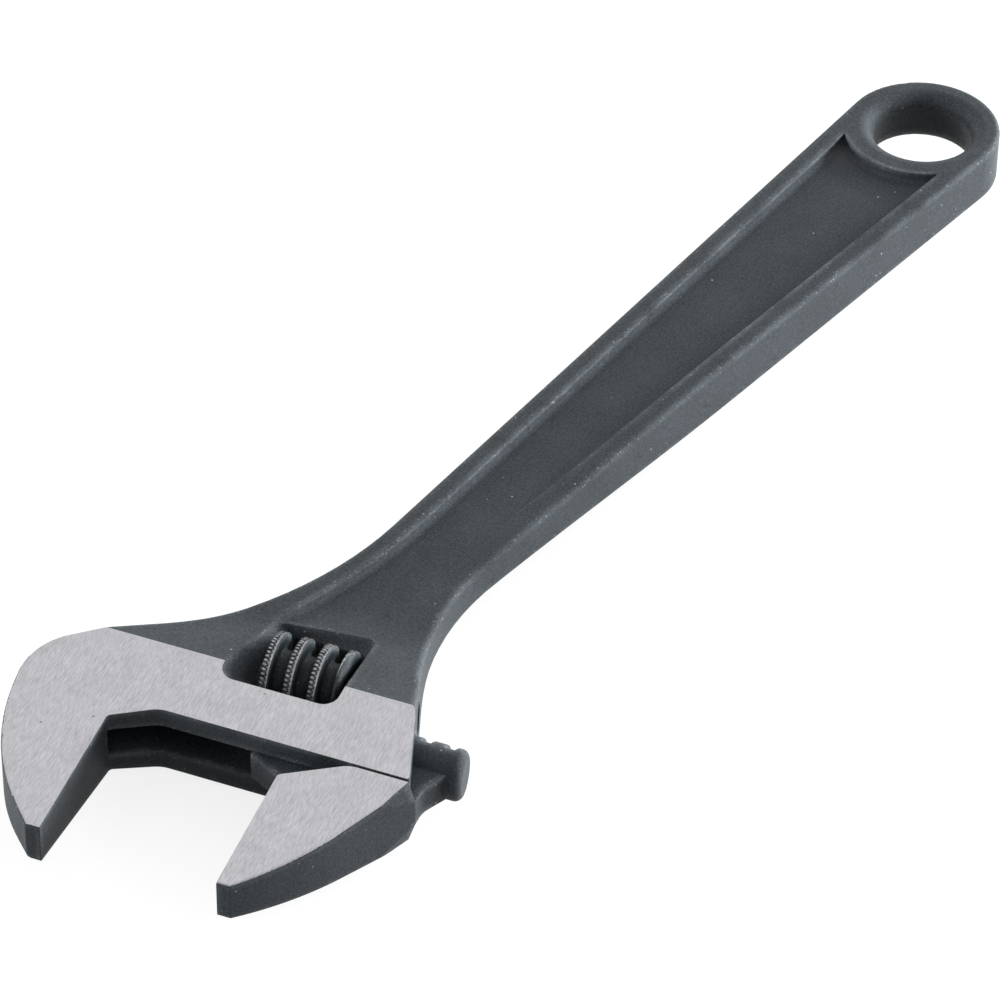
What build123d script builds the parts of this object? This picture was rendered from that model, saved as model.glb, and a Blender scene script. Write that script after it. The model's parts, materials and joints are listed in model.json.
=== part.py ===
from build123d import *

import os
from math import acos, atan, atan2, ceil, cos, floor, pi, radians, sin, tan

os.makedirs("parts", exist_ok=True)

# Adjustable wrench, all lengths in millimetres and all angles in degrees.
# Origin: centre of the hanging hole. +X runs along the handle to the head, +Z is up from the flat side.
# The head has a frame of its own, turned by head_angle: "reach" runs from the jaw channel to the jaw
# tips, and "gape" runs from the fixed jaw face towards the movable jaw.

# Handle and hanging ring
head_distance = 169.9
head_offset = 13.7
head_angle = 15.0
ring_radius = 11.5
hang_hole_radius = 7.3
hang_hole_round = 2.2
handle_front_half_width = 6.5
rim_thickness = 8.0
rim_width = 2.9
rim_edge_radius = 0.6
panel_thickness = 5.3
panel_corner_radius = 0.9
panel_crest_setback = 12.1
panel_bend_setback = 40.1
panel_bend_radius = 95.0
right_rim_fade_start = 62.0
right_rim_fade_end = 118.0

# Neck, where the handle widens into the head
left_neck_setback = 30.1
left_neck_radius = 55.0
right_neck_setback = 40.1
right_neck_radius = 42.0
rim_ramp_setback = 20.4
panel_ramp_setback = 26.0
ramp_radius = 30.0
ring_wall = 0.4

# Head and fixed jaw
head_thickness = 10.3
head_taper = 5.13
crest_setback = 10.8
head_width = 41.1
head_corner_radius = 0.3
head_edge_radius = 0.55
heel_width = 15.0
heel_setback = 5.1
heel_radius = 9.0
jaw_back_width = 12.75
jaw_back_reach = 13.3
jaw_back_radius = 34.0
fixed_jaw_reach = 24.0
fixed_tip_width = 2.1
mouth_facet_reach = 3.4
mouth_facet_angle = 30.0
mouth_corner_radius = 0.8
mouth_blend_radius = 4.0
corner_room = 0.95

# Movable jaw, measured from its own face
jaw_opening = 24.9
jaw_lift = 0.45
jaw_overreach = 0.6
jaw_reach = fixed_jaw_reach + jaw_overreach
jaw_tip_width = 1.85
jaw_tip_radius = 0.4
jaw_width = 17.2
jaw_side_width = 8.0
jaw_side_reach = 18.5
jaw_side_radius = 50.0
jaw_facet_reach = 5.1
jaw_edge_radius = 0.5
jaw_bevel_width = 0.95
jaw_bevel_reach = 6.5

# Rack bar and the tongue that joins it to the jaw
bar_radius = 3.45
bar_setback = 8.2
bar_left = 3.7
bar_right = 20.7
bar_end_angle = 9.5
bar_end_radius = 1.1
bar_point_angle = 59.0
tongue_thickness = 4.2
tongue_left = 6.0
tongue_left_lift = 0.3
tongue_brace_reach = 3.3
tongue_waist_drop = 1.9
tongue_waist_radius = 4.0
bar_clearance = 0.15
tongue_clearance = 0.15
tongue_end_clearance = 0.4

# Knurl (worm) and its window
knurl_setback = 16.0
knurl_radius = 6.5
knurl_length = 11.4
knurl_end_chamfer = 0.4
knurl_end_clearance = 0.15
knurl_start = 14.15
thread_pitch = 3.4
thread_depth = 2.2
thread_crest_width = 1.05
thread_flank_angle = 5.0
thread_phase = 1.95
thread_clearance = 0.25
groove_clearance = 0.35
window_back_clearance = 0.4
window_front_setback = 10.0
window_front_draft = 26.2
window_left_draft = 40.1
window_right_draft = 17.4
window_back_left_draft = 11.3
window_back_right_draft = 67.0
window_draft_height = 1.9
window_corner_radius = 1.0
window_mouth_radius = 2.4

# Knurl pin and spring
pin_radius = 1.5
pin_seat_depth = 4.5
pin_head_radius = 2.3
pin_head_length = 5.0
pin_end_recess = 0.9
pin_tip_clearance = 0.3
pin_slot_width = 0.8
pin_slot_depth = 1.0
pin_fit_clearance = 0.02
knurl_running_clearance = 0.05
spring_wire_radius = 0.25
spring_mean_radius = 2.2
spring_coil_pitch = 1.0
spring_turns = 3.0
spring_pocket_clearance = 0.35

# Derived sizes and frames
head = Plane(
    origin=(head_distance, -head_offset, 0),
    x_dir=Vector(1, 0, 0).rotate(Axis.Z, head_angle),
    z_dir=(0, 0, 1),
)
reach_dir = head.x_dir
gape_dir = head.y_dir
side_view = Plane(origin=head.origin, x_dir=reach_dir, z_dir=-gape_dir)

handle_far = head_distance + ring_radius
tall = head_thickness * 2
taper_slope = tan(radians(head_taper))
panel_half = panel_thickness / 2
rim_half = rim_thickness / 2
tongue_half = tongue_thickness / 2
slot_half = tongue_half + tongue_clearance
bore_radius = bar_radius + bar_clearance


def head_point(reach, gape, height=0.0):
    """Point of the head frame in the part's frame."""
    return head.from_local_coords((reach, gape, height))


def along_gape(reach, gape):
    """Plane square to the slide direction, with its origin on the mid plane of the head."""
    return Plane(origin=head_point(reach, gape), x_dir=reach_dir, z_dir=gape_dir)


def ground_half(reach):
    """Half thickness of the head between its two ground faces, which close towards the jaw tips."""
    return head_thickness / 2 - taper_slope * reach


def wedge_section(low, high):
    """Corners of the tapered head section between two reaches, in the side view."""
    return [
        (low, -ground_half(low)),
        (high, -ground_half(high)),
        (high, ground_half(high)),
        (low, ground_half(low)),
    ]


def paired_edges(solid, point, height):
    """Edges of the upper and of the lower side that lie nearest to a point of the mid plane."""
    rise = Vector(0, 0, height)
    return [solid.edges().sort_by_distance(place)[0] for place in (point + rise, point - rise)]


# Outline of the handle, neck and fixed jaw, seen from above
def ring_tangent(point, turn):
    """Where the line from a point outside the ring touches the ring, on the side given by turn."""
    angle = atan2(point.Y, point.X) + turn * acos(ring_radius / point.length)
    return Vector(ring_radius * cos(angle), ring_radius * sin(angle))


def fitted_radius(before, corner, after, radius):
    """Corner radius, or the largest one that the shorter side of the corner has room for."""
    turn = (corner - before).get_angle(after - corner)
    shorter_side = min((corner - before).length, (after - corner).length)
    return min(radius, corner_room * shorter_side / tan(radians(turn / 2)))


mouth_facet_gape = mouth_facet_reach / tan(radians(mouth_facet_angle))
left_neck = Vector(head_distance - left_neck_setback, -handle_front_half_width)
right_neck = Vector(head_distance - right_neck_setback, handle_front_half_width)
left_ring = ring_tangent(left_neck, -1)
right_ring = ring_tangent(right_neck, 1)
heel = head_point(-heel_setback, -heel_width)
head_right_corner = head_point(0, head_width)

jaw_back = head_point(jaw_back_reach, -jaw_back_width)
fixed_tip = head_point(fixed_jaw_reach, -fixed_tip_width)

outline_corners = [
    (left_neck, left_neck_radius),
    (heel, heel_radius),
    (jaw_back, fitted_radius(heel, jaw_back, fixed_tip, jaw_back_radius)),
    (fixed_tip, 0),
    (head_point(fixed_jaw_reach, 0), 0),
    (head_point(mouth_facet_reach, 0), mouth_corner_radius),
    (head_point(0, mouth_facet_gape), mouth_blend_radius),
    (head_right_corner, head_corner_radius),
    (right_neck, right_neck_radius),
]

# Knurl, pin and rack positions, as reaches and gapes of the head frame
bar_axis = Axis(head_point(-bar_setback, 0), gape_dir)
knurl_axis = Axis(head_point(-knurl_setback, 0), gape_dir)
bore_depth = bar_left + tongue_end_clearance
slot_depth = tongue_left + tongue_end_clearance
window_left = knurl_start - knurl_end_clearance
window_right = knurl_start + knurl_length + knurl_end_clearance
window_back = -knurl_setback - knurl_radius - window_back_clearance
window_front = -window_front_setback
pin_hole_radius = pin_radius + pin_fit_clearance
pin_head_hole_radius = pin_head_radius + pin_fit_clearance
pin_tip = window_left - pin_seat_depth
right_side = head_right_corner - right_neck
right_side_slope = right_side.dot(gape_dir) / right_side.dot(reach_dir)
pin_end = head_width - right_side_slope * knurl_setback - pin_end_recess
pin_shoulder = pin_end - pin_head_length
spring_height = spring_coil_pitch * spring_turns
spring_pocket_depth = spring_height + 2 * spring_wire_radius + knurl_end_clearance
spring_start = knurl_start + knurl_end_clearance + spring_wire_radius

flank_slope = tan(radians(thread_flank_angle))
groove_floor = knurl_radius + groove_clearance
groove_half_width = thread_crest_width / 2 + thread_clearance
groove_mean_radius = knurl_radius - thread_depth / 2
groove_slope = thread_pitch / (2 * pi * groove_mean_radius)
groove_spacing = thread_pitch * cos(atan(groove_slope))
thread_datum = knurl_start + thread_phase
groove_plane = Plane(
    origin=head_point(-knurl_setback, thread_datum),
    x_dir=reach_dir,
    z_dir=Vector(0, 0, 1) - gape_dir * groove_slope,
)
bar_point_length = bar_radius / tan(radians(bar_point_angle))
bar_end_rise = bar_radius * tan(radians(bar_end_angle))
first_groove = ceil((jaw_opening - bar_left - bar_point_length - thread_datum) / thread_pitch)
last_groove = floor((jaw_opening + bar_right - thread_datum) / thread_pitch)
groove_numbers = range(first_groove, last_groove + 1)


def brace_reach(gape):
    """Reach of the tongue's sloping upper edge, gape measured from the jaw face."""
    return tongue_brace_reach + (tongue_brace_reach - tongue_left_lift) / tongue_left * gape


def slot_brace_reach(gape):
    """Reach of the slot above the sloping edge of the tongue when the jaw is closed."""
    return brace_reach(gape) + tongue_end_clearance


# Sunk panel of the upper side, between the rims and up the neck to the head
panel_rise = (ground_half(-panel_crest_setback) - panel_half) / (panel_ramp_setback - panel_crest_setback)
left_inward = (left_neck - left_ring).normalized().rotate(Axis.Z, 90)
right_inward = (right_neck - right_ring).normalized().rotate(Axis.Z, -90)
left_panel_rear = left_ring + left_inward * rim_width
left_panel_slope = (left_neck - left_ring).Y / (left_neck - left_ring).X
panel_bend = Vector(
    head_distance - panel_bend_setback,
    left_panel_rear.Y + left_panel_slope * (head_distance - panel_bend_setback - left_panel_rear.X),
)
panel_end = head_point(
    window_back - (rim_half - window_draft_height) * tan(radians(window_back_left_draft)),
    window_left - (rim_half - window_draft_height) * tan(radians(window_left_draft)),
)
right_panel_rear = right_ring + right_inward * rim_width
right_panel_slope = (right_neck - right_ring).Y / (right_neck - right_ring).X
right_panel_front = Vector(
    right_rim_fade_end,
    right_panel_rear.Y + right_panel_slope * (right_rim_fade_end - right_panel_rear.X),
)

panel_bend_fit = fitted_radius(left_panel_rear, panel_bend, panel_end, panel_bend_radius)

with BuildPart() as panel:
    with BuildSketch():
        with BuildLine():
            FilletPolyline(
                left_panel_rear,
                panel_bend,
                panel_end,
                head_point(window_front, window_right),
                head_point(0, head_width * 2),
                right_panel_front + Vector(0, head_width * 2),
                right_panel_front,
                right_panel_rear,
                radius=[0, panel_bend_fit, 0, 0, 0, 0, 0, 0],
                close=True,
            )
        make_face()
        Circle(ring_radius + ring_wall, mode=Mode.SUBTRACT)
    extrude(amount=tall)
    with BuildSketch(side_view):
        with BuildLine():
            FilletPolyline(
                (-2 * handle_far, panel_half),
                (-panel_ramp_setback, panel_half),
                (0, panel_half + panel_rise * panel_ramp_setback),
                (0, tall * 2),
                (-2 * handle_far, tall * 2),
                radius=[0, ramp_radius, 0, 0, 0],
                close=True,
            )
        make_face()
    extrude(amount=2 * handle_far, both=True, mode=Mode.INTERSECT)
    floor_edges = [
        panel.edges().sort_by_distance(Vector(point.X, point.Y, panel_half))[0]
        for point in (
            (left_panel_rear + panel_bend) / 2,
            (right_panel_rear + right_panel_front) / 2,
            Vector(ring_radius + ring_wall, 0),
        )
    ]
    fillet(floor_edges, radius=panel_corner_radius)
    # The right rim sinks into the panel along a soft curve
    with BuildSketch(Plane.XZ):
        with BuildLine():
            Spline(
                (right_rim_fade_start, rim_half),
                (right_rim_fade_end, panel_half),
                tangents=((1, 0), (1, 0)),
            )
            Polyline(
                (right_rim_fade_end, panel_half),
                (right_rim_fade_end, tall),
                (right_rim_fade_start, tall),
                (right_rim_fade_start, rim_half),
            )
        make_face()
    extrude(amount=-2 * ring_radius)
    mirror(about=Plane.XY)

# Knurl window: straight in the middle, flaring towards both faces and most of all at its back right corner
window_mouth_rise = head_thickness / 2


def window_flare(draft):
    """How far a wall of the window with this draft leans out at the mouth."""
    return window_mouth_rise * tan(radians(draft))


mouth_front = window_front + window_flare(window_front_draft)
mouth_left = window_left - window_flare(window_left_draft)
mouth_right = window_right + window_flare(window_right_draft)
window_corners = [
    (window_front, window_left),
    (window_front, window_right),
    (window_back, window_right),
    (window_back, window_left),
]
mouth_corners = [
    (mouth_front, mouth_left),
    (mouth_front, mouth_right),
    (window_back - window_flare(window_back_right_draft), mouth_right),
    (window_back - window_flare(window_back_left_draft), mouth_left),
]
with BuildPart() as window:
    with BuildSketch(head):
        with BuildLine():
            FilletPolyline(*window_corners, radius=window_corner_radius, close=True)
        make_face()
    extrude(amount=window_draft_height)
    with BuildSketch(head.offset(window_draft_height)):
        with BuildLine():
            FilletPolyline(*window_corners, radius=window_corner_radius, close=True)
        make_face()
    with BuildSketch(head.offset(window_draft_height + window_mouth_rise)):
        with BuildLine():
            FilletPolyline(*mouth_corners, radius=window_mouth_radius, close=True)
        make_face()
    loft(ruled=True)
    mirror(about=Plane.XY)

# Heights of the forging: the rims climb to the crest, and right of the window the shoulder is left full for
# the sunk panel to shape
with BuildPart() as heights:
    with BuildSketch(side_view):
        with BuildLine():
            FilletPolyline(
                (-2 * handle_far, rim_half),
                (-rim_ramp_setback, rim_half),
                (-crest_setback, ground_half(-crest_setback)),
                (fixed_jaw_reach * 2, ground_half(fixed_jaw_reach * 2)),
                (fixed_jaw_reach * 2, -ground_half(fixed_jaw_reach * 2)),
                (-crest_setback, -ground_half(-crest_setback)),
                (-rim_ramp_setback, -rim_half),
                (-2 * handle_far, -rim_half),
                radius=[0, ramp_radius, 0, 0, 0, 0, ramp_radius, 0],
                close=True,
            )
        make_face()
    extrude(amount=2 * handle_far, both=True)
    with BuildSketch(side_view.offset(-(window_left + window_right) / 2)):
        Polygon(*wedge_section(-panel_ramp_setback, 0), align=None)
    extrude(amount=-2 * head_width)

# Forged body: outline, heights, sunk panels
with BuildPart() as body:
    with BuildSketch():
        with BuildLine():
            FilletPolyline(
                left_ring,
                *[corner for corner, corner_radius in outline_corners],
                right_ring,
                radius=[corner_radius for corner, corner_radius in outline_corners],
            )
            ThreePointArc(right_ring, (-ring_radius, 0), left_ring)
        make_face()
    extrude(amount=tall, both=True)
    add(heights.part, mode=Mode.INTERSECT)
    add(panel.part, mode=Mode.SUBTRACT)
    rim_middle = (left_ring + left_neck) / 2
    fillet(paired_edges(body, rim_middle, rim_half), radius=rim_edge_radius)
    flank_middle = (heel + jaw_back) / 2
    fillet(paired_edges(body, flank_middle, head_thickness / 2), radius=head_edge_radius)

    # Hanging hole, rounded at both faces
    Cylinder(hang_hole_radius, tall, mode=Mode.SUBTRACT)
    hole_edges = body.edges().filter_by(GeomType.CIRCLE).filter_by(
        lambda edge: abs(edge.radius - hang_hole_radius) < 0.01
    )
    ring_room = corner_room * (ring_radius - rim_edge_radius - hang_hole_radius)
    fillet(hole_edges, radius=min(hang_hole_round, ring_room))

    # Knurl window, its walls flaring towards both faces
    add(window.part, mode=Mode.SUBTRACT)

    # Round channel of the rack bar, with the drill point at its closed end
    with BuildSketch(head):
        with BuildLine():
            Polyline(
                (-bar_setback, -bore_depth - bore_radius / tan(radians(bar_point_angle))),
                (bore_radius - bar_setback, -bore_depth),
                (bore_radius - bar_setback, head_width * 2),
                (-bar_setback, head_width * 2),
                close=True,
            )
        make_face()
    revolve(axis=bar_axis, mode=Mode.SUBTRACT)

    # Slot for the tongue, closed by the fixed jaw
    with BuildSketch(head):
        with BuildLine():
            Polyline(
                (-bar_setback, -slot_depth),
                (tongue_left_lift + tongue_end_clearance, -slot_depth),
                (slot_brace_reach(0), 0),
                (slot_brace_reach(mouth_facet_gape), mouth_facet_gape),
                (slot_brace_reach(mouth_facet_gape), head_width * 2),
                (-bar_setback, head_width * 2),
                close=True,
            )
        make_face()
    extrude(amount=slot_half, both=True, mode=Mode.SUBTRACT)

    # Stepped hole of the knurl pin
    with BuildSketch(head):
        with BuildLine():
            Polyline(
                (-knurl_setback, pin_tip - pin_tip_clearance),
                (pin_hole_radius - knurl_setback, pin_tip - pin_tip_clearance),
                (pin_hole_radius - knurl_setback, pin_shoulder),
                (pin_head_hole_radius - knurl_setback, pin_shoulder),
                (pin_head_hole_radius - knurl_setback, head_width * 2),
                (-knurl_setback, head_width * 2),
                close=True,
            )
        make_face()
    revolve(axis=knurl_axis, mode=Mode.SUBTRACT)
body.part.label = "body"
export_step(body.part, "parts/body.step")

# Movable jaw: tapered plate, tongue in the slot, round rack bar with grooves for the knurl thread
jaw_frame = Plane(origin=head_point(0, jaw_opening), x_dir=reach_dir, z_dir=(0, 0, 1))
jaw_facet_gape = (jaw_facet_reach - jaw_lift) / tan(radians(mouth_facet_angle))
jaw_tip = Vector(jaw_reach, jaw_tip_width)
jaw_side = Vector(jaw_side_reach, jaw_side_width)
jaw_foot = Vector(jaw_lift, jaw_width)


def jaw_side_gape(reach):
    """Gape of the straight stretch of the jaw's side next to its foot."""
    return jaw_width + (jaw_side_width - jaw_width) / (jaw_side_reach - jaw_lift) * (reach - jaw_lift)


jaw_corners = [
    (Vector(jaw_reach, 0), 0),
    (jaw_tip, jaw_tip_radius),
    (jaw_side, fitted_radius(jaw_tip, jaw_side, jaw_foot, jaw_side_radius)),
    (jaw_foot, 0),
    (Vector(jaw_lift, jaw_facet_gape), mouth_blend_radius),
    (Vector(jaw_facet_reach, 0), mouth_corner_radius),
]
with BuildPart() as bar:
    with BuildSketch(jaw_frame):
        with BuildLine():
            Polyline(
                (-bar_setback, -bar_left - bar_point_length),
                (bar_radius - bar_setback, -bar_left),
                (bar_radius - bar_setback, bar_right + bar_end_rise),
                (-bar_setback, bar_right + bar_end_rise),
                close=True,
            )
        make_face()
    revolve(axis=bar_axis)
    # The end of the bar slopes like the side of the head
    with BuildSketch(jaw_frame):
        with BuildLine():
            Polyline(
                (-bar_setback - bar_radius * 2, bar_right - bar_end_rise * 2),
                (-bar_setback + bar_radius * 2, bar_right + bar_end_rise * 2),
                (-bar_setback - bar_radius * 2, bar_right + bar_end_rise * 2),
                close=True,
            )
        make_face()
    extrude(amount=bar_radius * 2, both=True, mode=Mode.SUBTRACT)
    bar_end = bar.faces().sort_by(Axis(jaw_frame.origin, gape_dir))[-1]
    fillet(bar_end.edges(), radius=bar_end_radius)

with BuildPart() as jaw:
    with BuildSketch(jaw_frame):
        with BuildLine():
            FilletPolyline(
                *[corner for corner, corner_radius in jaw_corners],
                radius=[corner_radius for corner, corner_radius in jaw_corners],
                close=True,
            )
        make_face()
    extrude(amount=tall, both=True)
    with BuildSketch(side_view):
        Polygon(*wedge_section(-jaw_reach, jaw_reach * 2), align=None)
    extrude(amount=head_width * 2, both=True, mode=Mode.INTERSECT)
    side_middle = jaw_frame.from_local_coords((jaw_side + jaw_foot) / 2)
    fillet(paired_edges(jaw, side_middle, head_thickness / 2), radius=jaw_edge_radius)
    # The foot is bevelled above and below the tongue
    for side in (1, -1):
        bevel_top, bevel_foot, bevel_end = [
            jaw_frame.from_local_coords((reach, gape, side * height))
            for reach, gape, height in (
                (jaw_lift, jaw_width - jaw_bevel_width, ground_half(jaw_lift)),
                (jaw_lift, jaw_width, tongue_half),
                (jaw_bevel_reach, jaw_side_gape(jaw_bevel_reach), ground_half(jaw_bevel_reach)),
            )
        ]
        outward = (bevel_end - bevel_top).cross(bevel_foot - bevel_top) * side
        with BuildSketch(Plane(origin=bevel_top, x_dir=bevel_end - bevel_top, z_dir=outward)):
            Rectangle(head_width * 2, head_width * 2)
        extrude(amount=head_width, mode=Mode.SUBTRACT)
    with BuildSketch(jaw_frame):
        with BuildLine():
            FilletPolyline(
                (-bar_setback, -bar_left),
                (tongue_left_lift, -tongue_left),
                (brace_reach(jaw_facet_gape / 2), jaw_facet_gape / 2),
                (brace_reach(jaw_facet_gape / 2), jaw_facet_gape),
                (jaw_lift, jaw_width),
                (-tongue_waist_drop, jaw_width),
                (-bar_setback + bar_radius / 2, bar_right - bar_end_radius),
                (-bar_setback, bar_right - bar_end_radius),
                radius=[0, 0, 0, 0, 0, tongue_waist_radius, 0, 0],
                close=True,
            )
        make_face()
    extrude(amount=tongue_half, both=True)
    add(bar.part)
    with BuildSketch(groove_plane):
        with Locations(*[(0, number * groove_spacing) for number in groove_numbers]):
            Polygon(
                (groove_floor, -groove_half_width),
                (groove_floor, groove_half_width),
                (0, groove_half_width + groove_floor * flank_slope),
                (0, -groove_half_width - groove_floor * flank_slope),
                align=None,
            )
    extrude(amount=bar_radius * 2, both=True, mode=Mode.SUBTRACT)
jaw.part.label = "jaw"
export_step(jaw.part, "parts/jaw.step")

# Knurl: worm on the pin, its thread cut turn by turn into a plain cylinder, with a pocket for the spring in
# its left end
thread_turns = ceil(knurl_length / thread_pitch) + 2
thread_start = head_point(-knurl_setback, thread_datum - 1.5 * thread_pitch)
thread_root_radius = knurl_radius - thread_depth
thread_overcut_radius = knurl_radius + thread_depth / 2


def thread_gap_half(radius):
    """Half width of the gap between neighbouring ridges, which narrows towards the root."""
    return (thread_pitch - thread_crest_width) / 2 + (radius - knurl_radius) * flank_slope


with BuildPart() as thread:
    with BuildLine() as thread_path:
        Helix(
            pitch=thread_pitch,
            height=thread_pitch,
            radius=knurl_radius,
            center=thread_start,
            direction=gape_dir,
        )
    with BuildSketch(Plane(thread_start, x_dir=reach_dir, z_dir=(0, 0, 1))):
        Polygon(
            (thread_root_radius, -thread_gap_half(thread_root_radius)),
            (thread_overcut_radius, -thread_gap_half(thread_overcut_radius)),
            (thread_overcut_radius, thread_gap_half(thread_overcut_radius)),
            (thread_root_radius, thread_gap_half(thread_root_radius)),
            align=None,
        )
    sweep(path=thread_path.wire(), is_frenet=True)

with BuildPart() as knurl:
    with BuildSketch(along_gape(-knurl_setback, knurl_start)):
        Circle(knurl_radius)
    extrude(amount=knurl_length)
    chamfer(knurl.edges(), length=knurl_end_chamfer)
    for turn in range(thread_turns):
        add(thread.part.moved(Location(gape_dir * thread_pitch * turn)), mode=Mode.SUBTRACT)
    with BuildSketch(along_gape(-knurl_setback, knurl_start)):
        Circle(pin_radius + knurl_running_clearance)
    extrude(amount=knurl_length, mode=Mode.SUBTRACT)
    with BuildSketch(along_gape(-knurl_setback, knurl_start)):
        Circle(spring_mean_radius + spring_wire_radius + spring_pocket_clearance)
    extrude(amount=spring_pocket_depth, mode=Mode.SUBTRACT)
knurl.part.label = "knurl"
export_step(knurl.part, "parts/knurl.step")

# Knurl pin: plain shank in the left wall, slotted screw head in the right wall
with BuildPart() as knurl_pin:
    with BuildSketch(head):
        with BuildLine():
            Polyline(
                (-knurl_setback, pin_tip),
                (pin_radius - knurl_setback, pin_tip),
                (pin_radius - knurl_setback, pin_shoulder),
                (pin_head_radius - knurl_setback, pin_shoulder),
                (pin_head_radius - knurl_setback, pin_end),
                (-knurl_setback, pin_end),
                close=True,
            )
        make_face()
    revolve(axis=knurl_axis)
    with BuildSketch(along_gape(-knurl_setback, pin_end)):
        Rectangle(pin_head_radius * 3, pin_slot_width)
    extrude(amount=-pin_slot_depth, mode=Mode.SUBTRACT)
knurl_pin.part.label = "knurl_pin"
export_step(knurl_pin.part, "parts/knurl_pin.step")

# Knurl spring: a short coil round the pin
with BuildPart() as knurl_spring:
    with BuildLine() as coil_path:
        Helix(
            pitch=spring_coil_pitch,
            height=spring_height,
            radius=spring_mean_radius,
            center=head_point(-knurl_setback, spring_start),
            direction=gape_dir,
        )
    with BuildSketch(Plane(coil_path.wire() @ 0, z_dir=coil_path.wire() % 0)):
        Circle(spring_wire_radius)
    sweep(path=coil_path.wire(), is_frenet=True)
knurl_spring.part.label = "knurl_spring"
export_step(knurl_spring.part, "parts/knurl_spring.step")
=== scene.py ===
"""Looks of an adjustable wrench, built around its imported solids.

The solids keep their shapes and places. This script gives each surface its finish, cuts the
diamond knurling into the crest of the thumb wheel, and sets the floor, the light and the camera.
"""

from __future__ import annotations

import json
import logging
import math
from dataclasses import dataclass
from enum import Enum
from typing import Any

import bmesh
import bpy
from mathutils import Matrix, Vector
from mathutils.bvhtree import BVHTree

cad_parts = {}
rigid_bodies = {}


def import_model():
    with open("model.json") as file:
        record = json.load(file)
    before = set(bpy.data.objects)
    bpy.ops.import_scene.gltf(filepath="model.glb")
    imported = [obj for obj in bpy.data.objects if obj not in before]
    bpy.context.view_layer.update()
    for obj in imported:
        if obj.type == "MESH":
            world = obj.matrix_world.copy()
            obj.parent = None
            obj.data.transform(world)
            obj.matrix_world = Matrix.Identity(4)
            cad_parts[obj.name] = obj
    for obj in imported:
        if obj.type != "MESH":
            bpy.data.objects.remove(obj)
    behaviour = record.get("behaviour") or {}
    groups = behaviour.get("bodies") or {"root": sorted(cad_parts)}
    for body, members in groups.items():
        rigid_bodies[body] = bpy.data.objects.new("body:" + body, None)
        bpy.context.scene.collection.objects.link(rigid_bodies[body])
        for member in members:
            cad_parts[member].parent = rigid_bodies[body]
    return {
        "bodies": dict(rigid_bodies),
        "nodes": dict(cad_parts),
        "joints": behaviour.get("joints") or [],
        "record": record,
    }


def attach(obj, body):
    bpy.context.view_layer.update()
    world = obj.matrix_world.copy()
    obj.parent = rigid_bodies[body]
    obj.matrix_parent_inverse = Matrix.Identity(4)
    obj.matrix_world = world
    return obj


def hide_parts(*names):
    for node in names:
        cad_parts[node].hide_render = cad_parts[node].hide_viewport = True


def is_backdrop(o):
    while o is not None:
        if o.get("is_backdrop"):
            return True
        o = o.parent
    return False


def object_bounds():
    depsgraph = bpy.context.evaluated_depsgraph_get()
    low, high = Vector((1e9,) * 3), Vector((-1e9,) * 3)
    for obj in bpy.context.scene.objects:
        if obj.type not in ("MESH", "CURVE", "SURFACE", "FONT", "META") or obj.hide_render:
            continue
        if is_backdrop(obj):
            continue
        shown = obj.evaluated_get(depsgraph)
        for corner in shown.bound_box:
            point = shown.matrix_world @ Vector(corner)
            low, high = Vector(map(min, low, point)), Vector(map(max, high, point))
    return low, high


LOG = logging.getLogger("wrench")

MM = 0.001
UP = Vector((0, 0, 1))

# Samples of the nodes that feel for the edges around a point of the surface
BEVEL_SAMPLES = 4
RUB_SAMPLES = 6

# Colour sockets of the mix node, which go by number because its other kinds have the same names
FIRST_COLOUR = 6
SECOND_COLOUR = 7
MIXED_COLOUR = 2


class Flat(Enum):
    """Ground flats of the head, by the way that they face along Z."""

    UPPER = 1
    LOWER = -1


class Lean(Enum):
    """Directions of the knurling grooves, by the side of the axis that they lean to."""

    LEFT = -1
    RIGHT = 1


def linear(hex_colour: str) -> tuple[float, float, float, float]:
    """Turn an sRGB hex colour into linear light, by the standard curve.

    Args:
        hex_colour: Six hex digits after a hash sign.

    Returns:
        Linear red, green, blue and an alpha of one.
    """
    shares = [int(hex_colour[i : i + 2], 16) / 255 for i in (1, 3, 5)]
    curve = [s / 12.92 if s <= 0.04045 else ((s + 0.055) / 1.055) ** 2.4 for s in shares]
    return (*curve, 1.0)


def per_metre(size_mm: float) -> float:
    """Texture scale that draws one feature every size_mm millimetres."""
    return 1 / (size_mm * MM)


def aim(azimuth: float, elevation: float) -> Vector:
    """Direction at a bearing about +Z from +X and a height above the floor, in degrees.

    Args:
        azimuth: Bearing.
        elevation: Height.

    Returns:
        A unit vector.
    """
    turn, rise = math.radians(azimuth), math.radians(elevation)
    flat = math.cos(rise)
    return Vector((flat * math.cos(turn), flat * math.sin(turn), math.sin(rise)))


def add_node(
    tree: bpy.types.NodeTree,
    kind: str,
    settings: dict[str, Any] | None = None,
    inputs: dict[str | int, Any] | None = None,
) -> bpy.types.Node:
    """Add one node with its settings, and set or link its inputs.

    Args:
        tree: Node tree that takes the node.
        kind: Blender's name of the node type.
        settings: Properties of the node.
        inputs: Values or output sockets, by the name or number of the input.

    Returns:
        The new node.
    """
    node = tree.nodes.new(kind)
    for name, value in (settings or {}).items():
        setattr(node, name, value)
    for name, value in (inputs or {}).items():
        if isinstance(value, bpy.types.NodeSocket):
            tree.links.new(value, node.inputs[name])
        else:
            node.inputs[name].default_value = value
    return node


def new_tree(owner: bpy.types.Material | bpy.types.World) -> bpy.types.NodeTree:
    """Give a material or world an empty node tree.

    Args:
        owner: What the nodes belong to.

    Returns:
        The empty tree.
    """
    owner.use_nodes = True
    owner.node_tree.nodes.clear()
    return owner.node_tree


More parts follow.
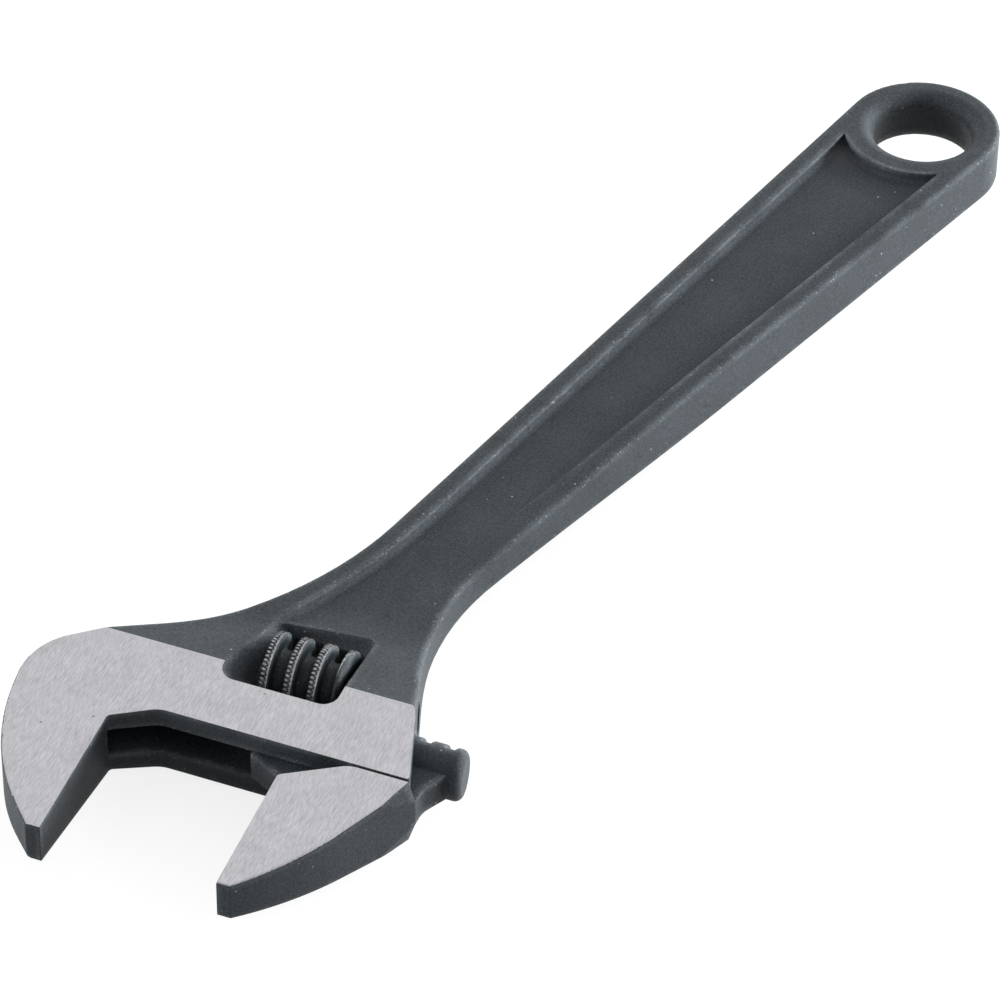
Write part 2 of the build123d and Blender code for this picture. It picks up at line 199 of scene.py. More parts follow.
def set_materials(piece: bpy.types.Object, materials: list[bpy.types.Material]) -> None:
    """Replace a piece's materials.

    Args:
        piece: Piece to dress.
        materials: Its new materials, in slot order.
    """
    piece.data.materials.clear()
    for material in materials:
        piece.data.materials.append(material)


@dataclass(frozen=True)
class HeadFrame:
    """Directions of the turned head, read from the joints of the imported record."""

    # The way that the jaw slides, which is also the wheel's axis
    gape: Vector
    wheel_centre: Vector
    # Each ground flat closes towards the tips by this angle
    taper_deg: float = 5.13

    @classmethod
    def from_joints(cls, joints: list[dict[str, Any]]) -> HeadFrame:
        """Read the slide direction and the wheel's axis.

        Args:
            joints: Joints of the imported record.

        Returns:
            The head frame.
        """
        by_name = {joint["name"]: joint for joint in joints}
        return cls(
            gape=Vector(by_name["jaw_slide"]["axis"]).normalized(),
            wheel_centre=Vector(by_name["knurl_turn"]["pos_m"]),
        )

    @property
    def reach(self) -> Vector:
        """Direction from the jaw channel to the jaw tips."""
        return self.gape.cross(UP)

    @property
    def turn(self) -> float:
        """Angle of the reach direction about +Z, in radians."""
        return math.atan2(self.reach.y, self.reach.x)

    def ground_normals(self) -> list[Vector]:
        """Outward normals of the ground flats."""
        taper = math.radians(self.taper_deg)
        return [self.reach * math.sin(taper) + UP * flat.value * math.cos(taper) for flat in Flat]


@dataclass(frozen=True)
class PhosphatedForging:
    """Forged steel with an oiled manganese phosphate coat.

    The coat is dull and grey-black. Its fine crystals give a salt-and-pepper grain, and a few
    dim glints are painted into its colour as pale specks: painted highlights of single crystals.
    The oil gives it a soft sheen, and the outer edges are rubbed a little paler.
    """

    name: str = "phosphated_forged_steel"
    colour: str = "#282C2F"
    pale_colour: str = "#404549"
    # Colour of the painted glints: pale specks that stand for crystals catching the light
    painted_glint_colour: str = "#9A9EA0"
    rubbed_colour: str = "#5B6165"
    # Real crystals are near 0.02 mm, too fine for the picture, so the grain is drawn coarser
    grain_mm: float = 0.3
    grain_detail: float = 3.0
    grain_roughness: float = 0.6
    grain_relief_mm: float = 0.02
    cloud_mm: float = 6.0
    cloud_detail: float = 4.0
    cloud_roughness: float = 0.55
    cloud_weight: float = 0.3
    # The coat turns from its colour to the paler one between these sums of grain and cloud
    pale_from: float = 0.48
    pale_to: float = 0.82
    sheen_level: float = 0.2
    roughness: float = 0.46
    roughness_swing: float = 0.12
    swing_from: float = 0.3
    swing_to: float = 0.7
    # Painted glints: each pale speck is a painted highlight of one larger crystal, drawn coarser
    # than it is, and fades out from its middle
    painted_glint_mm: float = 0.5
    painted_glint_share: float = 0.007
    painted_glint_rim: float = 0.4
    painted_glint_core: float = 0.15
    edge_radius_mm: float = 0.4
    # An edge is rubbed where many rays into the steel come out again within this distance
    rub_mm: float = 1.0
    rub_from: float = 0.98
    rub_to: float = 0.7
    patch_from: float = 0.25
    patch_to: float = 0.6
    # On the rubbed edges more pale specks are painted: partly worn flecks of bare steel, partly
    # painted glints
    edge_wear_and_glint_share: float = 0.85

    def material(self) -> bpy.types.Material:
        """Build the finish.

        Returns:
            The material.
        """
        material = bpy.data.materials.new(self.name)
        tree = new_tree(material)
        place = add_node(tree, "ShaderNodeTexCoord").outputs["Object"]
        grain = add_node(
            tree,
            "ShaderNodeTexNoise",
            inputs={
                "Vector": place,
                "Scale": per_metre(self.grain_mm),
                "Detail": self.grain_detail,
                "Roughness": self.grain_roughness,
            },
        ).outputs["Fac"]
        cloud = add_node(
            tree,
            "ShaderNodeTexNoise",
            inputs={
                "Vector": place,
                "Scale": per_metre(self.cloud_mm),
                "Detail": self.cloud_detail,
                "Roughness": self.cloud_roughness,
            },
        ).outputs["Fac"]
        mixed = add_node(
            tree,
            "ShaderNodeMath",
            {"operation": "MULTIPLY_ADD"},
            {0: cloud, 1: self.cloud_weight, 2: grain},
        ).outputs["Value"]
        edge = self._edges(tree, cloud)
        speckled = self._speckle(tree, place, edge, self._coat(tree, mixed))
        rubbed = add_node(
            tree, "ShaderNodeMath", {"operation": "MULTIPLY"}, {0: edge, 1: mixed}
        ).outputs["Value"]
        colour = add_node(
            tree,
            "ShaderNodeMix",
            {"data_type": "RGBA"},
            {
                "Factor": rubbed,
                FIRST_COLOUR: speckled,
                SECOND_COLOUR: linear(self.rubbed_colour),
            },
        ).outputs[MIXED_COLOUR]
        gloss = add_node(
            tree,
            "ShaderNodeMapRange",
            inputs={
                "Value": cloud,
                "From Min": self.swing_from,
                "From Max": self.swing_to,
                "To Min": self.roughness - self.roughness_swing / 2,
                "To Max": self.roughness + self.roughness_swing / 2,
            },
        ).outputs["Result"]
        rounded = add_node(
            tree,
            "ShaderNodeBevel",
            {"samples": BEVEL_SAMPLES},
            {"Radius": self.edge_radius_mm * MM},
        ).outputs["Normal"]
        relief = add_node(
            tree,
            "ShaderNodeBump",
            inputs={
                "Height": grain,
                "Strength": 1.0,
                "Distance": self.grain_relief_mm * MM,
                "Normal": rounded,
            },
        ).outputs["Normal"]
        shader = add_node(
            tree,
            "ShaderNodeBsdfPrincipled",
            inputs={
                "Base Color": colour,
                "Roughness": gloss,
                "Specular IOR Level": self.sheen_level,
                "Normal": relief,
            },
        )
        add_node(tree, "ShaderNodeOutputMaterial", inputs={"Surface": shader.outputs["BSDF"]})
        return material

    def _coat(
        self, tree: bpy.types.NodeTree, mixed: bpy.types.NodeSocket
    ) -> bpy.types.NodeSocket:
        """Mix the two colours of the crystals.

        Args:
            tree: Node tree of the finish.
            mixed: Sum of the grain and the cloud.

        Returns:
            Colour of the coat.
        """
        share = add_node(
            tree,
            "ShaderNodeMapRange",
            inputs={"Value": mixed, "From Min": self.pale_from, "From Max": self.pale_to},
        ).outputs["Result"]
        return add_node(
            tree,
            "ShaderNodeMix",
            {"data_type": "RGBA"},
            {
                "Factor": share,
                FIRST_COLOUR: linear(self.colour),
                SECOND_COLOUR: linear(self.pale_colour),
            },
        ).outputs[MIXED_COLOUR]

    def _edges(
        self, tree: bpy.types.NodeTree, cloud: bpy.types.NodeSocket
    ) -> bpy.types.NodeSocket:
        """Find the outer edges, where hands and benches rub the coat in patches.

        Args:
            tree: Node tree of the finish.
            cloud: Slow change over the surface.

        Returns:
            Up to one on the rubbed edges, zero away from them.
        """
        cover = add_node(
            tree,
            "ShaderNodeAmbientOcclusion",
            {"samples": RUB_SAMPLES, "inside": True, "only_local": True},
            {"Distance": self.rub_mm * MM},
        ).outputs["AO"]
        patch = add_node(
            tree,
            "ShaderNodeMapRange",
            inputs={"Value": cloud, "From Min": self.patch_from, "From Max": self.patch_to},
        ).outputs["Result"]
        return add_node(
            tree,
            "ShaderNodeMapRange",
            inputs={
                "Value": cover,
                "From Min": self.rub_from,
                "From Max": self.rub_to,
                "To Max": patch,
            },
        ).outputs["Result"]

    def _speckle(
        self,
        tree: bpy.types.NodeTree,
        place: bpy.types.NodeSocket,
        edge: bpy.types.NodeSocket,
        coat: bpy.types.NodeSocket,
    ) -> bpy.types.NodeSocket:
        """Paint glints of crystals catching the light as pale specks, more of them on the worn
        edges.

        Args:
            tree: Node tree of the finish.
            place: Position on the piece.
            edge: Up to one on the rubbed edges.
            coat: Colour of the coat.

        Returns:
            The coat with its painted glints.
        """
        cells = add_node(
            tree,
            "ShaderNodeTexVoronoi",
            inputs={"Vector": place, "Scale": per_metre(self.painted_glint_mm)},
        ).outputs
        chosen = add_node(
            tree, "ShaderNodeSeparateColor", inputs={"Color": cells["Color"]}
        ).outputs
        raised = add_node(
            tree,
            "ShaderNodeMath",
            {"operation": "MULTIPLY_ADD"},
            {0: edge, 1: self.edge_wear_and_glint_share, 2: chosen["Red"]},
        ).outputs["Value"]
        picked = add_node(
            tree,
            "ShaderNodeMath",
            {"operation": "GREATER_THAN"},
            {0: raised, 1: 1 - self.painted_glint_share},
        ).outputs["Value"]
        core = add_node(
            tree,
            "ShaderNodeMapRange",
            inputs={
                "Value": cells["Distance"],
                "From Min": self.painted_glint_rim,
                "From Max": self.painted_glint_core,
                "To Max": chosen["Green"],
            },
        ).outputs["Result"]
        # Painted highlight: how strongly each chosen speck takes the pale colour
        painted_glint = add_node(
            tree, "ShaderNodeMath", {"operation": "MULTIPLY"}, {0: picked, 1: core}
        ).outputs["Value"]
        return add_node(
            tree,
            "ShaderNodeMix",
            {"data_type": "RGBA"},
            {"Factor": painted_glint, FIRST_COLOUR: coat, SECOND_COLOUR: linear(self.painted_glint_colour)},
        ).outputs[MIXED_COLOUR]


@dataclass(frozen=True)
class GroundSteel:
    """Steel flat ground on a belt.

    It is pale satin metal, with short streaks along the reach direction and a few dark pits that
    the belt has not reached.
    """

    turn: float
    name: str = "belt_ground_steel"
    colour: str = "#DEDDE2"
    streak_colour: str = "#A9A8AC"
    pit_colour: str = "#8A898B"
    roughness: float = 0.38
    # Real scratches are near 0.03 mm wide, so they are drawn coarser to show in the picture
    streak_width_mm: float = 0.14
    streak_length_mm: float = 1.2
    streak_detail: float = 3.0
    streak_roughness: float = 0.65
    streak_relief_mm: float = 0.004
    cloud_mm: float = 3.5
    cloud_detail: float = 3.0
    cloud_weight: float = 0.25
    # The steel turns from streak to its full colour between these sums of streak and cloud
    bright_from: float = 0.33
    bright_to: float = 0.86
    pit_mm: float = 1.6
    pit_share: float = 0.06
    pit_rim: float = 0.16
    pit_core: float = 0.05

    def material(self) -> bpy.types.Material:
        """Build the finish.

        Returns:
            The material.
        """
        material = bpy.data.materials.new(self.name)
        tree = new_tree(material)
        place = add_node(tree, "ShaderNodeTexCoord").outputs["Object"]
        length, width = self.streak_length_mm * MM, self.streak_width_mm * MM
        along = add_node(
            tree,
            "ShaderNodeMapping",
            {"vector_type": "TEXTURE"},
            {
                "Vector": place,
                "Rotation": (0, 0, self.turn),
                "Scale": (length, width, length),
            },
        ).outputs["Vector"]
        streak = add_node(
            tree,
            "ShaderNodeTexNoise",
            inputs={
                "Vector": along,
                "Scale": 1.0,
                "Detail": self.streak_detail,
                "Roughness": self.streak_roughness,
            },
        ).outputs["Fac"]
        cloud = add_node(
            tree,
            "ShaderNodeTexNoise",
            inputs={
                "Vector": place,
                "Scale": per_metre(self.cloud_mm),
                "Detail": self.cloud_detail,
            },
        ).outputs["Fac"]
        mixed = add_node(
            tree,
            "ShaderNodeMath",
            {"operation": "MULTIPLY_ADD"},
            {0: cloud, 1: self.cloud_weight, 2: streak},
        ).outputs["Value"]
        share = add_node(
            tree,
            "ShaderNodeMapRange",
            inputs={"Value": mixed, "From Min": self.bright_from, "From Max": self.bright_to},
        ).outputs["Result"]
        ground = add_node(
            tree,
            "ShaderNodeMix",
            {"data_type": "RGBA"},
            {
                "Factor": share,
                FIRST_COLOUR: linear(self.streak_colour),
                SECOND_COLOUR: linear(self.colour),
            },
        ).outputs[MIXED_COLOUR]
        relief = add_node(
            tree,
            "ShaderNodeBump",
            inputs={"Height": streak, "Strength": 1.0, "Distance": self.streak_relief_mm * MM},
        ).outputs["Normal"]
        shader = add_node(
            tree,
            "ShaderNodeBsdfPrincipled",
            inputs={
                "Base Color": self._pits(tree, place, ground),
                "Metallic": 1.0,
                "Roughness": self.roughness,
                "Normal": relief,
            },
        )
        add_node(tree, "ShaderNodeOutputMaterial", inputs={"Surface": shader.outputs["BSDF"]})
        return material

    def _pits(
        self,
        tree: bpy.types.NodeTree,
        place: bpy.types.NodeSocket,
        ground: bpy.types.NodeSocket,
    ) -> bpy.types.NodeSocket:
        """Scatter dark pits over the ground steel.

        Args:
            tree: Node tree of the finish.
            place: Position on the piece.
            ground: Colour of the ground steel.

        Returns:
            The ground steel with its pits.
        """
        cells = add_node(
            tree,
            "ShaderNodeTexVoronoi",
            inputs={"Vector": place, "Scale": per_metre(self.pit_mm)},
        ).outputs
        chosen = add_node(
            tree, "ShaderNodeSeparateColor", inputs={"Color": cells["Color"]}
        ).outputs["Red"]
        picked = add_node(
            tree,
            "ShaderNodeMath",
            {"operation": "GREATER_THAN"},
            {0: chosen, 1: 1 - self.pit_share},
        ).outputs["Value"]
        core = add_node(
            tree,
            "ShaderNodeMapRange",
            inputs={
                "Value": cells["Distance"],
                "From Min": self.pit_rim,
                "From Max": self.pit_core,
            },
        ).outputs["Result"]
        pit = add_node(
            tree, "ShaderNodeMath", {"operation": "MULTIPLY"}, {0: picked, 1: core}
        ).outputs["Value"]
        return add_node(
            tree,
            "ShaderNodeMix",
            {"data_type": "RGBA"},
            {"Factor": pit, FIRST_COLOUR: ground, SECOND_COLOUR: linear(self.pit_colour)},
        ).outputs[MIXED_COLOUR]


@dataclass(frozen=True)
class WornSteel:
    """Turned or drawn steel whose surface is mottled: the wheel's crest, the pin and the spring."""

    name: str
    colour: str
    worn_colour: str
    metallic: float
    roughness: float
    mottle_mm: float
    mottle_detail: float = 3.0
    worn_from: float = 0.35
    worn_to: float = 0.65
    edge_radius_mm: float = 0.12

    def material(self) -> bpy.types.Material:
        """Build the finish.

        Returns:
            The material.
        """
        material = bpy.data.materials.new(self.name)
        tree = new_tree(material)
        place = add_node(tree, "ShaderNodeTexCoord").outputs["Object"]
        mottle = add_node(
            tree,
            "ShaderNodeTexNoise",
            inputs={
                "Vector": place,
                "Scale": per_metre(self.mottle_mm),
                "Detail": self.mottle_detail,
            },
        ).outputs["Fac"]
        share = add_node(
            tree,
            "ShaderNodeMapRange",
            inputs={"Value": mottle, "From Min": self.worn_from, "From Max": self.worn_to},
        ).outputs["Result"]
        colour = add_node(
            tree,
            "ShaderNodeMix",
            {"data_type": "RGBA"},
            {
                "Factor": share,
                FIRST_COLOUR: linear(self.colour),
                SECOND_COLOUR: linear(self.worn_colour),
            },
        ).outputs[MIXED_COLOUR]
        rounded = add_node(
            tree,
            "ShaderNodeBevel",
            {"samples": BEVEL_SAMPLES},
            {"Radius": self.edge_radius_mm * MM},
        ).outputs["Normal"]
        shader = add_node(
            tree,
            "ShaderNodeBsdfPrincipled",
            inputs={
                "Base Color": colour,
                "Metallic": self.metallic,
                "Roughness": self.roughness,
                "Normal": rounded,
            },
        )
        add_node(tree, "ShaderNodeOutputMaterial", inputs={"Surface": shader.outputs["BSDF"]})
        return material


# The thread's coat is drawn nearly black, darker than the forging's
NEAR_BLACK_THREAD_COAT = PhosphatedForging(
    name="phosphated_turned_steel", colour="#141819", pale_colour="#2C3235"
)
# Thumbs rub the coat off the crest, which shows bright bare steel
BURNISHED_CREST = WornSteel(
    name="burnished_knurling",
    colour="#87888A",
    worn_colour="#C2C3C5",
    metallic=1.0,
    roughness=0.36,
    mottle_mm=0.5,
)
# Blackening leaves the pin dark, with a dull metal gloss
BLACKENED_PIN = WornSteel(
    name="blackened_screw_steel",
    colour="#2B2C2E",
    worn_colour="#3C3E40",
    metallic=0.6,
    roughness=0.45,
    mottle_mm=0.8,
)
# Drawing leaves the wire smooth and bright
DRAWN_WIRE = WornSteel(
    name="drawn_spring_wire",
    colour="#8C8C8E",
    worn_colour="#A6A6A8",
    metallic=1.0,
    roughness=0.3,
    mottle_mm=0.6,
)


@dataclass
class GroundForging:
    """Forged piece of the head whose two flats are ground bright: the body or the movable jaw."""

    node: bpy.types.Object
    head: HeadFrame
    # The belt rolls over the rounded edges of the flats as far as this slope and depth
    rolled_slope_deg: float = 40.0
    rolled_depth_mm: float = 0.14

    def dress(self, coat: bpy.types.Material, ground: bpy.types.Material) -> int:
        """Coat the forging and leave its ground flats bright.

        Args:
            coat: Finish of the forged surfaces.
            ground: Finish of the two flats.

        Returns:
            Number of facets on the flats.
        """
        set_materials(self.node, [coat, ground])
        mesh = self.node.data
        limit = math.cos(math.radians(self.rolled_slope_deg))
        depth = self.rolled_depth_mm * MM
        flats = [
            (normal, max(vertex.co.dot(normal) for vertex in mesh.vertices) - depth)
            for normal in self.head.ground_normals()
        ]
        count = 0
        for facet in mesh.polygons:
            ground_here = any(
                facet.normal.dot(normal) > limit and facet.center.dot(normal) > level
                for normal, level in flats
            )
            facet.material_index = int(ground_here)
            count += ground_here
        return count


@dataclass
class ThumbWheel:
    """Worm that the thumb turns: short V grooves cut diamond knurling into its thread's crest."""

    node: bpy.types.Object
    head: HeadFrame
    crest_radius_mm: float = 6.5
    # What lies this close to the crest's radius counts as crest
    crest_band_mm: float = 0.06
    # The crest is felt for along the axis in steps of this size
    crest_step_mm: float = 0.05
    groove_count: int = 64
    groove_depth_mm: float = 0.17
    groove_width_mm: float = 0.3
    groove_lean_mm: float = 0.5
    # The grooves stop short of one edge of the crest, which stays a plain bright line
    plain_edge_mm: float = 0.2
    weld_mm: float = 0.001
    # A sound cut is closed after this finer weld, and keeps at least this share of the volume
    test_weld_mm: float = 0.0001
    least_share: float = 0.95
    phases: tuple[float, ...] = (0.0, 0.23, 0.41, 0.67, 0.84)

    def build(self) -> bpy.types.Object:
        """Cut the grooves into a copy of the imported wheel.

        A cut that leaves an open or shrunken mesh is made again with the grooves turned a little.
        If none is sound, the wheel stays plain.

        Returns:
            The knurled wheel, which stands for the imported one.
        """
        wheel = bpy.data.objects.new("knurled_wheel", self.node.data.copy())
        bpy.context.scene.collection.objects.link(wheel)
        weld = bmesh.new()
        weld.from_mesh(wheel.data)
        bmesh.ops.remove_doubles(weld, verts=weld.verts, dist=self.weld_mm * MM)
        plain_volume = weld.calc_volume()
        weld.to_mesh(wheel.data)
        weld.free()
        for phase in self.phases:
            knurled = self._cut(wheel, phase)
            if self._sound(knurled, plain_volume):
                wheel.data = knurled
                break
            LOG.warning("%s: no sound cut at phase %.2f", wheel.name, phase)
        return wheel

    def _cut(self, wheel: bpy.types.Object, phase: float) -> bpy.types.Mesh:
        """Cut both directions of grooves at one phase.

        Args:
            wheel: The plain wheel.
            phase: Turn of the grooves, as a share of their spacing.

        Returns:
            Mesh of the knurled wheel.
        """
        cutters = [self._cutter(lean, phase) for lean in Lean]
        for cutter in cutters:
            cut = wheel.modifiers.new(cutter.name, "BOOLEAN")
            cut.operation = "DIFFERENCE"
            cut.solver = "EXACT"
            cut.object = cutter
        bpy.context.view_layer.update()
        evaluated = wheel.evaluated_get(bpy.context.evaluated_depsgraph_get())
        knurled = bpy.data.meshes.new_from_object(evaluated)
        wheel.modifiers.clear()
        for cutter in cutters:
            bpy.data.objects.remove(cutter)
        return knurled

    def _sound(self, mesh: bpy.types.Mesh, plain_volume: float) -> bool:
        """Tell whether a cut mesh is closed and has lost little.

        Args:
            mesh: Mesh after the cut.
            plain_volume: Volume before the cut.

        Returns:
            True if the mesh can be used.
        """
        shape = bmesh.new()
        shape.from_mesh(mesh)
        bmesh.ops.remove_doubles(shape, verts=shape.verts, dist=self.test_weld_mm * MM)
        closed = all(edge.is_manifold for edge in shape.edges)
        share = shape.calc_volume() / plain_volume
        shape.free()
        return closed and self.least_share < share < 1

    def _crests(
        self, surface: BVHTree, frame: Matrix, half_length: float
    ) -> list[tuple[float, float]]:
        """Find where the thread's crest lies along the axis, at one angle.

        Args:
            surface: Surface of the wheel.
            frame: Directions of the angle's radius, its tangent and the axis.
            half_length: Half of the wheel's length.

        Returns:
            Ends of each crest along the axis that is wide enough for a groove.
        """
        step = self.crest_step_mm * MM
        outside = 2 * self.crest_radius_mm * MM
        limit = (self.crest_radius_mm - self.crest_band_mm) * MM
        crests: list[tuple[float, float]] = []
        start = None
        count = math.ceil(half_length / step)
        for number in range(-count, count + 1):
            origin = self.head.wheel_centre + frame @ Vector((outside, 0, number * step))
            distance = surface.ray_cast(origin, -frame.col[0])[3]
            on_crest = distance is not None and outside - distance > limit
            if on_crest and start is None:
                start = number * step
            elif start is not None and not on_crest:
                crests.append((start, number * step))
                start = None
        return [(low, high) for low, high in crests if high - low > 2 * self.plain_edge_mm * MM]

    def _cutter(self, lean: Lean, phase: float) -> bpy.types.Object:
        """Make the short V-shaped bars that cut the grooves of one direction.

        Args:
            lean: Side of the axis that the bars lean to.
            phase: Turn of the grooves, as a share of their spacing.

        Returns:
            The cutter.
        """
        centre = self.head.wheel_centre
        aside = lean.value * self.groove_lean_mm * MM / 2
        depth = self.groove_depth_mm * MM
        width = self.groove_width_mm * MM
        radius = self.crest_radius_mm * MM
        points = [vertex.co for vertex in self.node.data.vertices]
        half_length = max(abs((point - centre).dot(self.head.gape)) for point in points)
        facets = [facet.vertices[:] for facet in self.node.data.polygons]
        surface = BVHTree.FromPolygons(points, facets)
        axes = Matrix((self.head.reach, UP, -self.head.gape)).transposed()
        # The V goes on as far above the crest as below it, so it is twice as wide at its top
        section = [(radius - depth, 0), (radius + depth, width), (radius + depth, -width)]
        bars = bmesh.new()
        for number in range(self.groove_count):
            turn = 2 * math.pi * (number + phase) / self.groove_count
            frame = axes @ Matrix.Rotation(turn, 3, "Z")
            for low, high in self._crests(surface, frame, half_length):
                stations = ((low + self.plain_edge_mm * MM, -aside), (high + depth, aside))
                near, far = (
                    [
                        bars.verts.new(centre + frame @ Vector((out, across + shift, along)))
                        for out, across in section
                    ]
                    for along, shift in stations
                )
                bars.faces.new(near)
                bars.faces.new(reversed(far))
                for here in range(len(section)):
                    after = (here + 1) % len(section)
                    bars.faces.new([near[after], near[here], far[here], far[after]])
        bmesh.ops.recalc_face_normals(bars, faces=bars.faces)
        mesh = bpy.data.meshes.new("groove_cutter")
        bars.to_mesh(mesh)
        bars.free()
        cutter = bpy.data.objects.new("groove_cutter", mesh)
        bpy.context.scene.collection.objects.link(cutter)
        return cutter

    def dress(
        self, wheel: bpy.types.Object, coat: bpy.types.Material, crest: bpy.types.Material
    ) -> None:
        """Coat the wheel and rub its crest bright.

        Args:
            wheel: The knurled wheel.
            coat: Finish of the thread.
            crest: Finish of the crest.
        """
        set_materials(wheel, [coat, crest])
        inner = (self.crest_radius_mm - self.crest_band_mm) * MM
        for facet in wheel.data.polygons:
            arm = facet.center - self.head.wheel_centre
            arm -= self.head.gape * arm.dot(self.head.gape)
            facet.material_index = int(arm.length > inner)


@dataclass(frozen=True)
class SoftBox:
    """Wide, low soft box that faces the wrench."""

    name: str
    azimuth: float
    elevation: float
    watts: float
    lit_point_mm: tuple[float, float, float] = (110.0, 0.0, 0.0)
    distance_mm: float = 600.0
    width_mm: float = 700.0
    height_mm: float = 140.0

    def build(self) -> None:
        """Place the lamp, unseen in glossy surfaces."""
        light = bpy.data.lights.new(self.name, "AREA")
        light.shape = "RECTANGLE"
        light.size = self.width_mm * MM
        light.size_y = self.height_mm * MM
        light.energy = self.watts
        lamp = bpy.data.objects.new(self.name, light)
        lamp.visible_glossy = False
        direction = aim(self.azimuth, self.elevation)
        lamp.location = (Vector(self.lit_point_mm) + direction * self.distance_mm) * MM
        lamp.rotation_euler = direction.to_track_quat("Z", "Y").to_euler()
        bpy.context.scene.collection.objects.link(lamp)


@dataclass(frozen=True)
class RoomGlow:
    """Bright part of the room, from nothing at its outer cosine to full at its inner one."""

    azimuth: float
    elevation: float
    outer_cosine: float
    inner_cosine: float
    strength: float


@dataclass
class Studio:
    """Pale floor, room light and soft boxes."""

    lowest_corner: Vector
    floor_span_mm: float = 6000.0
    # The paper under the wrench bounces little light, because most of it lies in the wrench's shade
    bounce_colour: str = "#585858"
    # To the camera and in glossy steel the paper glows by itself, and the rest of its white is
    # the share of light that it returns, so the shadow stays
    seen_glow: float = 0.8
    seen_share: float = 0.26
    mirrored_glow: float = 0.2
    mirrored_share: float = 0.55
    room_level: float = 0.38
    # One glow lies behind the wrench, seen from the camera, and a smaller one at its right
    glows: tuple[RoomGlow, ...] = (
        RoomGlow(azimuth=216, elevation=32, outer_cosine=-0.1, inner_cosine=0.8, strength=0.53),
        RoomGlow(azimuth=115, elevation=14, outer_cosine=0.75, inner_cosine=1.0, strength=1.2),
    )
    soft_boxes: tuple[SoftBox, ...] = (
        SoftBox(name="right_soft_box", azimuth=154, elevation=7, watts=17.0),
        SoftBox(name="left_soft_box", azimuth=-57, elevation=10, watts=4.6),
    )

    def build(self) -> None:
        """Set the floor, the room and the soft boxes."""
        self._floor()
        self._room()
        for soft_box in self.soft_boxes:
            soft_box.build()

    def _floor(self) -> None:
        """Lay the floor just under the wrench."""
        half = self.floor_span_mm * MM / 2
        mesh = bpy.data.meshes.new("floor")
        corners = [(-half, -half, 0), (half, -half, 0), (half, half, 0), (-half, half, 0)]
        mesh.from_pydata(corners, [], [(0, 1, 2, 3)])
        floor = bpy.data.objects.new("floor", mesh)
        floor.location = (0, 0, self.lowest_corner.z)
        bpy.context.scene.collection.objects.link(floor)
        floor.data.materials.append(self._paper())
        floor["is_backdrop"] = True

    def _paper(self) -> bpy.types.Material:
        """Build the floor's finish: matt paper, white to the camera but for the wrench's shadow.

        Returns:
            The material.
        """
        material = bpy.data.materials.new("matt_white_paper")
        tree = new_tree(material)
        path = add_node(tree, "ShaderNodeLightPath").outputs
        mirrored = add_node(
            tree,
            "ShaderNodeMath",
            {"operation": "MAXIMUM"},
            {0: path["Is Glossy Ray"], 1: path["Is Transmission Ray"]},
        ).outputs["Value"]
        shader = add_node(
            tree, "ShaderNodeBsdfDiffuse", inputs={"Color": linear(self.bounce_colour)}
        ).outputs["BSDF"]
        for ray, share, glow in (
            (mirrored, self.mirrored_share, self.mirrored_glow),
            (path["Is Camera Ray"], self.seen_share, self.seen_glow),
        ):
            paper = add_node(
                tree, "ShaderNodeBsdfDiffuse", inputs={"Color": (share, share, share, 1)}
            ).outputs["BSDF"]
            light = add_node(
                tree, "ShaderNodeEmission", inputs={"Strength": glow}
            ).outputs["Emission"]
            white = add_node(
                tree, "ShaderNodeAddShader", inputs={0: paper, 1: light}
            ).outputs["Shader"]
            shader = add_node(
                tree, "ShaderNodeMixShader", inputs={"Fac": ray, 1: shader, 2: white}
            ).outputs["Shader"]
        add_node(tree, "ShaderNodeOutputMaterial", inputs={"Surface": shader})
        return material

    def _room(self) -> None:
        """Light the room evenly, and add its glows."""
        world = bpy.data.worlds.new("studio_room")
        bpy.context.scene.world = world
        tree = new_tree(world)
        look = add_node(tree, "ShaderNodeTexCoord").outputs["Generated"]
        level: float | bpy.types.NodeSocket = self.room_level
        for glow in self.glows:
            facing = add_node(
                tree,
                "ShaderNodeVectorMath",
                {"operation": "DOT_PRODUCT"},
                {0: look, 1: aim(glow.azimuth, glow.elevation)},
            ).outputs["Value"]
            lit = add_node(
                tree,
                "ShaderNodeMapRange",
                {"interpolation_type": "SMOOTHSTEP"},
                {
                    "Value": facing,
                    "From Min": glow.outer_cosine,
                    "From Max": glow.inner_cosine,
                    "To Max": glow.strength,
                },
            ).outputs["Result"]
            level = add_node(
                tree, "ShaderNodeMath", {"operation": "ADD"}, {0: lit, 1: level}
            ).outputs["Value"]
        light = add_node(
            tree, "ShaderNodeBackground", inputs={"Color": (1, 1, 1, 1), "Strength": level}
        ).outputs["Background"]
        add_node(tree, "ShaderNodeOutputWorld", inputs={"Surface": light})


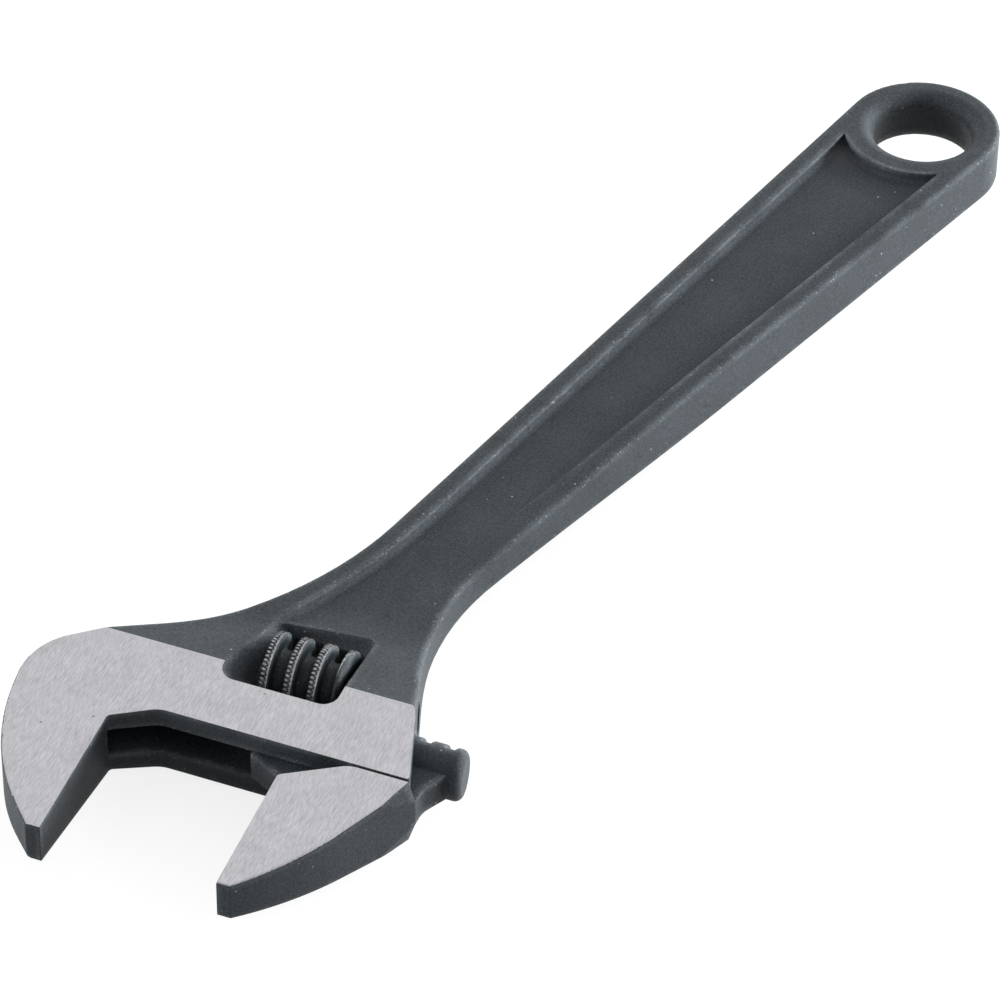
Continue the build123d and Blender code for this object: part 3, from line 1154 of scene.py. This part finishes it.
@dataclass(frozen=True)
class PhotoCamera:
    """Camera at the photograph's viewpoint, with its long lens and slight roll."""

    place_mm: tuple[float, float, float] = (555.653, 331.009, 478.785)
    azimuth: float = 36.298
    elevation: float = 40.452
    roll: float = 0.7303
    focal_length_px: float = 5363.56
    picture_px: float = 1000.0
    sensor_mm: float = 36.0
    nearest_mm: float = 10.0

    def build(self) -> None:
        """Place the camera and make it the scene's own."""
        back = aim(self.azimuth, self.elevation)
        right = UP.cross(back).normalized()
        up = back.cross(right)
        turn = math.radians(self.roll)
        right, up = (
            right * math.cos(turn) + up * math.sin(turn),
            up * math.cos(turn) - right * math.sin(turn),
        )
        data = bpy.data.cameras.new("photo_camera")
        data.sensor_width = self.sensor_mm
        data.lens = self.focal_length_px / self.picture_px * self.sensor_mm
        data.clip_start = self.nearest_mm * MM
        camera = bpy.data.objects.new("photo_camera", data)
        matrix = Matrix((right, up, back)).transposed().to_4x4()
        matrix.translation = Vector(self.place_mm) * MM
        camera.matrix_world = matrix
        bpy.context.scene.collection.objects.link(camera)
        bpy.context.scene.camera = camera


def main() -> None:
    """Load the frame, dress every piece, and set the studio."""
    logging.basicConfig(level=logging.INFO, format="%(name)s: %(message)s")
    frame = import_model()
    cad_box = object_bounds()
    nodes = frame["nodes"]
    bpy.context.scene.view_settings.view_transform = "Standard"

    head = HeadFrame.from_joints(frame["joints"])
    coat = PhosphatedForging().material()
    ground = GroundSteel(turn=head.turn).material()
    for name in ("body", "jaw"):
        facets = GroundForging(nodes[name], head).dress(coat, ground)
        LOG.info("%s dressed, %d facets on its ground flats", name, facets)

    thumb_wheel = ThumbWheel(nodes["knurl"], head)
    wheel = thumb_wheel.build()
    thumb_wheel.dress(wheel, NEAR_BLACK_THREAD_COAT.material(), BURNISHED_CREST.material())
    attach(wheel, "worm")
    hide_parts("knurl")
    LOG.info("%s cut, %d facets", wheel.name, len(wheel.data.polygons))

    for name, finish in (("knurl_pin", BLACKENED_PIN), ("knurl_spring", DRAWN_WIRE)):
        set_materials(nodes[name], [finish.material()])
        LOG.info("%s dressed", name)

    Studio(cad_box[0]).build()
    PhotoCamera().build()


if __name__ == "__main__":
    main()
